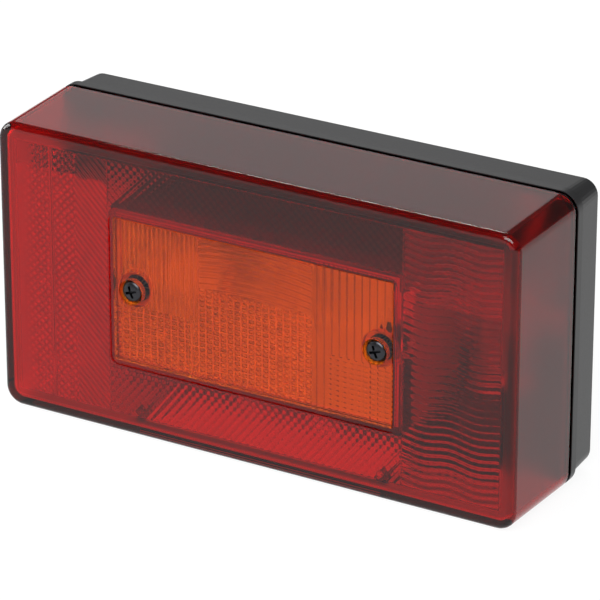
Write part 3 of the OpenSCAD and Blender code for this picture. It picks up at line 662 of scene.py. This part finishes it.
def hood_pads(s):
    """Four blocks with the optics: left end, right end, over and under the window."""
    reach_x, reach_z = optic_reach(s)
    inner = FRONT + s.wall
    root = inner - OVERLAP
    tall = s.optic_height

    def left(x, z):
        """Diamond points, a plain split line and a slanting hatch."""
        rise = min(max((x - FADE_X) / FADE_WIDTH, 0), 1)
        if abs(x - SPLIT_X) < SPLIT_HALF:
            return 0.15 * tall * ridge((x - SPLIT_X) / SPLIT_HALF)
        if x < HATCH_X:
            return 0.1 * tall + 0.26 * rise * s.pillow_pitch * pyramid(x, z, s.pillow_pitch)
        return tall * (0.1 + 0.5 * wave((x + z) / (s.hatch_pitch * 1.414)))

    def right(x, z):
        """Swaying level ribs with faint domes."""
        sway = 0.25 * sin(x / SWAY_WIDTH)
        return tall * (0.05 + 0.45 * wave(z / s.rib_pitch + sway) + 0.12 * staggered(x, z, s.pillow_pitch))

    def band_over(x, z):
        """Staggered domes."""
        return tall * (0.1 + 0.8 * staggered(x, z, s.streak_pitch))

    def band_under(x, z):
        """Crossed slanting prisms, one way stronger than the other."""
        lean = ridge((x - 0.8 * z) / s.streak_pitch)
        return tall * (0.1 + 0.5 * lean + 0.3 * ridge((x + 0.8 * z) / s.streak_pitch))

    band_xs = steps(-BAND_X, BAND_X, s.streak_pitch, 7)
    return (
        relief_block(
            steps(-reach_x, -CLEAR_X, s.pillow_pitch, 8), steps(-reach_z, reach_z, s.pillow_pitch, 8),
            root, inner, left),
        relief_block(
            steps(CLEAR_X, reach_x, s.pillow_pitch, 6), steps(-reach_z, reach_z, s.rib_pitch, 8),
            root, inner, right),
        relief_block(band_xs, steps(OVER_Z, reach_z, s.streak_pitch, 7), root, inner, band_over),
        relief_block(band_xs, steps(-reach_z, UNDER_Z, s.streak_pitch, 7), root, inner, band_under),
    )


def hood_marks(s):
    """Rule for the hood's marks: grained inner walls, and optics as cloudy as their zone, the zones' cloud painting
    in light and shade.
    """
    reach_x, reach_z = optic_reach(s)
    inner = FRONT + s.wall
    near = 0.1 * MM

    def painted_light_cloud(co):
        """Cloud of the optics as painted light and shade: less where little light lies behind them, so they read
        dark, more where they are to read bright.
        """
        # Painted shade in the upper left, kept clear so that it reads dark; painted light in the rest of the left
        # end, made cloudy so that it glows.
        if co.x < -CLEAR_X:
            level = SHADE_Z + SHADE_WAVE * ridge((co.x + co.z) / SHADE_PITCH)
            return SHADE_CLOUD if co.z > level and co.x > SHADE_X else s.end_painted_glow
        # Painted light and shade: the right end brighter high up, the band over the window darker high up, the band
        # under it darker towards the right.
        if co.x > CLEAR_X:
            return s.optic_cloud * (RIGHT_HIGH_SHARE if co.z > BRIGHT_Z else RIGHT_LOW_SHARE)
        if co.z > 0:
            return s.optic_cloud * (OVER_HIGH_SHARE if co.z > OVER_Z + DULL_RISE else OVER_LOW_SHARE)
        return s.optic_cloud * (1 - UNDER_FADE * min(max((co.x + CLEAR_X) / DULL_WIDTH, 0.0), 1.0))

    def marks(co):
        """Haze and cloud at one place."""
        if abs(co.x) < reach_x + near and abs(co.z) < reach_z + near and co.y < inner + PAST:
            if co.y < inner + 0.02 * MM:
                return PLAIN
            rise = min((co.y - inner) / (0.9 * s.optic_height), 1.0)
            return OPTIC_HAZE, painted_light_cloud(co) * (0.55 + 0.9 * rise)
        side = max(abs(co.x) - HALF_W, abs(co.z) - HALF_H)
        if co.y < inner - near or side > -s.wall + near:
            return PLAIN
        corner = HALF_W - co.x < s.corner_radius and HALF_H - co.z < s.corner_radius
        return (CORNER_HAZE if corner else 1.0), 0.0

    return marks


# Amber window

def window_relief(s, face_x, face_z):
    """Height of the window's inner face: flutes at both ends, ribs and a grid between them."""
    field = s.field_width / 2
    tall = s.relief

    def relief(x, z):
        """Height at one place."""
        drop = MID_Z - z
        if -drop > face_z - TOOTH_EDGE:
            return tall * (0.05 + 0.8 * wave(x / s.fine_pitch))
        grid = max(thin_line(x / s.grid_pitch), thin_line(z / s.field_pitch))
        if x < -field:
            if drop > GRID_DROP and x < -field - LEFT_FLUTES:
                return tall * (0.1 + 0.4 * grid)
            return tall * (0.1 + 0.5 * wave((x + face_x) / s.fine_pitch))
        if x > field:
            line = wave((x - field) / s.broad_pitch)
            if drop > GRID_DROP and x > field + RIGHT_FLUTES:
                return tall * (0.1 + 0.2 * line + 0.4 * grid)
            return tall * (0.1 + 0.5 * line)
        if drop < -GRID_DROP:
            return tall * (0.1 + 0.4 * wave((z + RIB_BOW * x * x / MM) / s.rib_pitch))
        return tall * (0.1 + 0.4 * grid)

    return relief


def window_marks(s, front, seat):
    """Rule for the window's marks: cloudy bosses, hazy flutes and pale grid lines."""
    field = s.field_width / 2

    def marks(co):
        """Haze and cloud at one place."""
        near = min((co.x - x) ** 2 + (co.z - MID_Z) ** 2 for x in SCREW_XS) ** 0.5
        if near < BOSS_REACH and co.y > front + 0.1 * MM:
            return BOSS_MARK
        if co.y < seat:
            return PLAIN
        if co.x > field:
            return BROAD_MARK
        if co.x < -field and MID_Z - co.z < GRID_DROP:
            return FINE_MARK
        if MID_Z - co.z < -GRID_DROP:
            return RIB_MARK
        return GRID_HAZE, GRID_CLOUD * max(thin_line(co.x / s.grid_pitch), thin_line(co.z / s.field_pitch))

    return marks


# Operators, one for each piece or group of like pieces

class LAMP_OT_red_hood(bpy.types.Operator):
    """Red hood with its step, openings and inner optics"""

    bl_idname = "lamp.red_hood"
    bl_label = "Red hood"

    def execute(self, context):
        s = context.scene.lamp_hood
        hood = hood_shell(s)
        combine(hood, hood_tongue(s), "UNION")
        cut_openings(hood, s, context.scene.lamp_window)
        for pad in hood_pads(s):
            combine(hood, pad, "UNION")
        finish_piece(hood, red_finish(), "red_plastic", "red_lens")
        mark_skin(hood, hood_marks(s))
        return {"FINISHED"}


class LAMP_OT_amber_window(bpy.types.Operator):
    """Amber window with its flange, flutes, ribs, grid and screw bosses"""

    bl_idname = "lamp.amber_window"
    bl_label = "Amber window"

    def execute(self, context):
        s = context.scene.lamp_window
        face_x = WINDOW_HIGH.x - s.flange
        face_z = WINDOW_HIGH.z - MID_Z - s.flange
        front = FRONT + s.sink
        seat = FRONT + context.scene.lamp_hood.wall
        back = seat + s.flange_wall
        field = s.field_width / 2
        xs = (
            steps(-face_x, -field, s.fine_pitch, 6)
            + steps(-field, field, s.field_pitch, 6)[1:]
            + steps(field, face_x, s.broad_pitch, 6)[1:])
        zs = steps(MID_Z - face_z, MID_Z + face_z, s.field_pitch, 6)
        window = mesh_object("amber_lens", relief_block(xs, zs, front, back, window_relief(s, face_x, face_z)))
        combine(window, rounded_block(
            (WINDOW_LOW.x, seat, WINDOW_LOW.z), (WINDOW_HIGH.x, back + 0.02 * MM, WINDOW_HIGH.z),
            FLANGE_RADIUS), "UNION")
        for x in SCREW_XS:
            combine(window, rod(BOSS_RADIUS, x, MID_Z, back - OVERLAP, WINDOW_HIGH.y), "UNION")
        floor_y = WINDOW_HIGH.y - RECESS_FLOOR
        for x in SCREW_XS:
            combine(window, rod(RECESS_RADIUS, x, MID_Z, front - MM, floor_y), "DIFFERENCE")
            combine(window, rod(HOLE_RADIUS, x, MID_Z, floor_y - MM, WINDOW_HIGH.y + MM), "DIFFERENCE")
        finish_piece(window, amber_finish(), "amber_plastic", "amber_window")
        mark_skin(window, window_marks(s, front, seat))
        return {"FINISHED"}


class LAMP_OT_tail_tray(bpy.types.Operator):
    """Shallow bright tray behind the left end of the hood"""

    bl_idname = "lamp.tail_tray"
    bl_label = "Tail tray"

    floor_gap = 0.3 * MM
    socket_gap = 0.4 * MM
    pocket_radius = 1.5 * MM

    def execute(self, context):
        s = context.scene.lamp_inside
        wall = s.tray_wall
        bottom = STUD_LOW.y - self.floor_gap
        rim = bottom - s.tray_depth
        top = TAIL_HIGH.z - s.upper_gap
        tray = mesh_object("tail_tray", rounded_block(
            (TAIL_LOW.x, rim, TAIL_LOW.z), (TAIL_HIGH.x, bottom, top), s.tray_radius))
        pocket = rounded_block(
            (TAIL_LOW.x + wall, rim - MM, TAIL_LOW.z + wall),
            (TAIL_HIGH.x - wall, bottom - wall, top - wall), s.tray_radius - wall)
        round_level(pocket, bottom - wall, self.pocket_radius, 6)
        combine(tray, pocket, "DIFFERENCE")
        for low_z in (TAIL_LOW.z + s.tray_radius, top - s.tray_radius - wall):
            foot = rounded_block(
                (TAIL_LOW.x + s.tray_radius, bottom - wall / 2, low_z),
                (TAIL_HIGH.x - s.tray_radius, TAIL_HIGH.y, low_z + wall), 0.3 * MM, 2)
            combine(tray, foot, "UNION")
        gap = self.socket_gap
        combine(tray, rounded_block(
            (TAIL_SOCKET_LOW.x - gap, rim + s.tray_depth / 2, TAIL_SOCKET_LOW.z - gap),
            (TAIL_SOCKET_HIGH.x + gap, 0, TAIL_SOCKET_HIGH.z + gap), MM), "DIFFERENCE")
        finish_piece(tray, bright_finish(), "bright_reflector", "tail_reflector")
        return {"FINISHED"}


class LAMP_OT_box_cheeks(bpy.types.Operator):
    """Bright plates on both sides of the light box"""

    bl_idname = "lamp.box_cheeks"
    bl_label = "Box cheeks"

    front_gap = 4 * MM
    rear_gap = 8 * MM

    def execute(self, context):
        s = context.scene.lamp_inside
        near = BOX_HIGH.x + s.box_wall
        for side, name in ((-1, "left"), (1, "right")):
            low, high = sorted((side * near, side * (near + s.cheek_wall)))
            bm = bmesh.new()
            box_between(
                bm, (low, BOX_LOW.y + self.front_gap, BOX_LOW.z),
                (high, BOX_HIGH.y - self.rear_gap, BOX_HIGH.z - s.upper_gap))
            bmesh.ops.bevel(
                bm, geom=list(bm.edges), offset=0.1 * MM, affect="EDGES", segments=2, profile=0.5, material=-1)
            plate = mesh_object("box_cheek_" + name, bm)
            finish_piece(plate, bright_finish(), "bright_reflector")
        return {"FINISHED"}


class LAMP_OT_rear_studs(bpy.types.Operator):
    """Threaded mounting studs with round heads"""

    bl_idname = "lamp.rear_studs"
    bl_label = "Rear studs"

    stud_radius = 3 * MM
    neck_radius = 3.4 * MM
    chamfer = 0.6 * MM
    plain_ends = 1.2 * MM
    per_turn = 32

    def execute(self, context):
        s = context.scene.lamp_fixings
        finish = zinc_finish()
        for side in ("left", "right"):
            node = "mounting_stud_" + side
            low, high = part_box(node)
            x = (low.x + high.x) / 2
            z = (low.z + high.z) / 2
            head_r = high.x - x
            root_r = self.stud_radius - s.thread_depth
            bm = bmesh.new()
            profile = [
                (0, low.y), (head_r * 0.5, low.y + 0.22 * MM), (head_r * 0.84, low.y + 0.75 * MM),
                (head_r, low.y + 1.6 * MM), (head_r, low.y + 3 * MM),
                (self.neck_radius, low.y + 3 * MM), (self.neck_radius, 0), (root_r, 0),
                (root_r, high.y - self.chamfer), (root_r - 0.5 * MM, high.y), (0, high.y)]
            line = [bm.verts.new((r, y, 0)) for r, y in profile]
            edges = [bm.edges.new(pair) for pair in zip(line, line[1:])]
            bmesh.ops.spin(
                bm, geom=line + edges, cent=(0, 0, 0), axis=(0, 1, 0), angle=2 * pi, steps=40, use_merge=True)
            bmesh.ops.remove_doubles(bm, verts=bm.verts, dist=1e-6)
            bmesh.ops.recalc_face_normals(bm, faces=bm.faces)
            core = mesh_object(node + "_threaded", bm)

            turns = int((high.y - self.plain_ends) / s.thread_pitch) - 1
            tooth = bmesh.new()
            half = s.thread_pitch * 0.46
            start = self.chamfer
            corners = ((root_r - 0.1 * MM, start - half), (self.stud_radius, start - 0.06 * MM),
                       (self.stud_radius, start + 0.06 * MM), (root_r - 0.1 * MM, start + half))
            ring = [tooth.verts.new((r, y, 0)) for r, y in corners]
            tooth_face = tooth.faces.new(ring)
            bmesh.ops.spin(
                tooth, geom=[tooth_face], cent=(0, 0, 0), axis=(0, 1, 0),
                dvec=(0, s.thread_pitch / self.per_turn, 0), angle=2 * pi * turns, steps=self.per_turn * turns)
            bmesh.ops.recalc_face_normals(tooth, faces=tooth.faces)
            combine(core, tooth, "UNION")
            core.data.transform(Matrix.Translation((x, 0, z)))
            finish_piece(core, finish, "zinc_steel", node)
        return {"FINISHED"}


class LAMP_OT_finishes(bpy.types.Operator):
    """Finishes of the pieces that keep their CAD form"""

    bl_idname = "lamp.finishes"
    bl_label = "Finishes"

    lug_width = 1.6 * MM

    def execute(self, context):
        colours = context.scene.lamp_finish
        base = moulded_plastic("satin_black", colours.black, 0.32, 0.42, 1400.0, 0.00002)
        socket = moulded_plastic("socket_black", (0.03, 0.03, 0.03), 0.5, 0.65, 900.0, 0.00002)
        pale = moulded_plastic("socket_pale", (0.75, 0.75, 0.73), 0.5, 0.65, 900.0, 0.00002)
        seal = rubber("black_rubber", 0.02)
        steel = metal("blacked_steel", (0.045, 0.045, 0.05), 0.22, 0.36)
        mirror = bright_finish()
        glass = bulb_glass("thin_glass")
        brass = metal("plated_brass", (0.78, 0.66, 0.42), 0.2, 0.35)
        wire = metal("drawn_wire", (0.4, 0.4, 0.42), 0.3, 0.45)
        contact = metal("stamped_brass", (0.8, 0.66, 0.36), 0.22, 0.38)
        zinc = zinc_finish()
        clear = clear_plastic("window_clear", (0.93, 0.94, 0.95), 1.45)
        wear = {
            "base_housing": base, "plate_window": clear, "lens_seal": seal, "cable_grommet": seal,
            "lens_screw_left": steel, "lens_screw_right": steel,
            "screw_washer_left": seal, "screw_washer_right": seal,
            "indicator_reflector": mirror, "tail_reflector": mirror,
            "plate_bulb_glass": glass, "plate_bulb_caps": brass,
            "plate_bulb_clip_left": contact, "plate_bulb_clip_right": contact,
            "terminal_block": socket, "terminal_screws": contact, "earth_strip": contact,
            "socket_rivets": zinc,
        }
        for bulb in ("indicator", "tail", "fog"):
            wear[bulb + "_bulb_glass"] = glass
            wear[bulb + "_bulb_cap"] = brass
            wear[bulb + "_filament"] = wire
            # Painted shade: the fog socket is black and the other two pale, where the fog bulb's holder lies in
            # shadow.
            wear[bulb + "_socket"] = socket if bulb == "fog" else pale
        for name, finish in wear.items():
            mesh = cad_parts[name].data
            mesh.materials.clear()
            mesh.materials.append(finish)

        # The end lugs of the number-plate window are black
        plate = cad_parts["plate_window"]
        plate.data.materials.append(base)
        for face in plate.data.polygons:
            centre = plate.matrix_world @ face.center
            if abs(centre.x) > PLATE_HIGH.x - self.lug_width:
                face.material_index = 1
        return {"FINISHED"}


class LAMP_OT_studio(bpy.types.Operator):
    """Plain pale floor, even light and the camera"""

    bl_idname = "lamp.studio"
    bl_label = "Studio"

    def card(self, name, centre, width, height, glow):
        """A flat white card that faces the lamp and gives soft light."""
        bm = bmesh.new()
        bmesh.ops.create_grid(bm, x_segments=1, y_segments=1, size=0.5)
        bmesh.ops.scale(bm, verts=bm.verts, vec=(width, height, 1))
        turn = Vector(centre).to_track_quat("Z", "Y").to_matrix()
        bmesh.ops.rotate(bm, verts=bm.verts, matrix=turn)
        bmesh.ops.translate(bm, verts=bm.verts, vec=centre)
        sheet = mesh_object(name, bm)
        finish, _, bsdf = shader(name)
        bsdf.inputs["Base Color"].default_value = (0, 0, 0, 1)
        bsdf.inputs["Specular IOR Level"].default_value = 0.0
        bsdf.inputs["Emission Color"].default_value = (1, 1, 1, 1)
        bsdf.inputs["Emission Strength"].default_value = glow
        sheet.data.materials.append(finish)

    def execute(self, context):
        s = context.scene.lamp_studio
        scene = context.scene
        scene.view_settings.view_transform = "Standard"

        bm = bmesh.new()
        bmesh.ops.create_grid(bm, x_segments=1, y_segments=1, size=4.0)
        bmesh.ops.translate(bm, verts=bm.verts, vec=(0, 0, CAD_BOX[0][2] - 0.0002))
        ground = mesh_object("floor", bm)
        tone, tree, bsdf = shader("floor_card")
        bsdf.inputs["Base Color"].default_value = (s.floor_tone, s.floor_tone, s.floor_tone, 1)
        bsdf.inputs["Emission Color"].default_value = (1, 1, 1, 1)
        bsdf.inputs["Emission Strength"].default_value = s.floor_glow
        bsdf.inputs["Specular IOR Level"].default_value = 0.1
        _, noise = grain(tree, bsdf, 300.0, 0.05, 0.0001)
        vary_roughness(tree, bsdf, noise, 0.85, 0.95)
        ground.data.materials.append(tone)
        for name, centre, width, height, glow in (
                ("back_card", (-1.02, 1.73, 0.9), 0.8, 0.7, s.back_glow),
                ("front_card", (0.35, -1.5, 1.3), 1.6, 1.2, s.front_glow),
                ("side_card", (-1.7, -0.4, 0.6), 1.2, 1.0, s.side_glow),
                ("strip_card", (-0.67, 1.03, 1.63), 0.9, 0.3, s.strip_glow)):
            self.card(name, centre, width, height, glow)

        sky = bpy.data.worlds.new("studio")
        sky.use_nodes = True
        back = sky.node_tree.nodes["Background"]
        back.inputs["Color"].default_value = (1, 1, 1, 1)
        back.inputs["Strength"].default_value = s.sky
        scene.world = sky

        camera = bpy.data.cameras.new("camera")
        camera.lens = s.lens
        camera.sensor_width = 36
        camera.dof.use_dof = False
        holder = bpy.data.objects.new("camera", camera)
        turn = Matrix((CAMERA_RIGHT, CAMERA_UP, -CAMERA_AHEAD)).transposed()
        holder.matrix_world = Matrix.Translation(CAMERA_PLACE) @ turn.to_4x4()
        scene.collection.objects.link(holder)
        scene.camera = holder
        return {"FINISHED"}


class LAMP_PT_panel(bpy.types.Panel):
    """Lists the lamp's pieces"""

    bl_idname = "LAMP_PT_panel"
    bl_label = "Rear lamp"
    bl_space_type = "VIEW_3D"
    bl_region_type = "UI"
    bl_category = "Lamp"

    def draw(self, context):
        for step in OPERATORS:
            self.layout.operator(step.bl_idname)
        for group in GROUPS:
            box = self.layout.box()
            settings = getattr(context.scene, group)
            for name in settings.bl_rna.properties.keys():
                if name not in {"rna_type", "name"}:
                    box.prop(settings, name)


OPERATORS = (
    LAMP_OT_red_hood, LAMP_OT_amber_window, LAMP_OT_tail_tray, LAMP_OT_box_cheeks, LAMP_OT_rear_studs,
    LAMP_OT_finishes, LAMP_OT_studio)
GROUPS = {
    "lamp_hood": HoodSettings,
    "lamp_window": WindowSettings,
    "lamp_inside": InsideSettings,
    "lamp_fixings": FixingSettings,
    "lamp_finish": FinishSettings,
    "lamp_studio": StudioSettings,
}


def register():
    """Registers the add-on's classes and settings."""
    for item in (*GROUPS.values(), *OPERATORS, LAMP_PT_panel):
        bpy.utils.register_class(item)
    for name, group in GROUPS.items():
        setattr(bpy.types.Scene, name, PointerProperty(type=group))


def unregister():
    """Takes the add-on's classes and settings away again."""
    for name in GROUPS:
        delattr(bpy.types.Scene, name)
    for item in reversed((*GROUPS.values(), *OPERATORS, LAMP_PT_panel)):
        bpy.utils.unregister_class(item)


def main():
    """Builds the lamp's pieces and the studio."""
    register()
    bpy.ops.lamp.red_hood()
    bpy.ops.lamp.amber_window()
    bpy.ops.lamp.tail_tray()
    bpy.ops.lamp.box_cheeks()
    bpy.ops.lamp.rear_studs()
    bpy.ops.lamp.finishes()
    bpy.ops.lamp.studio()


if __name__ == "__main__":
    main()
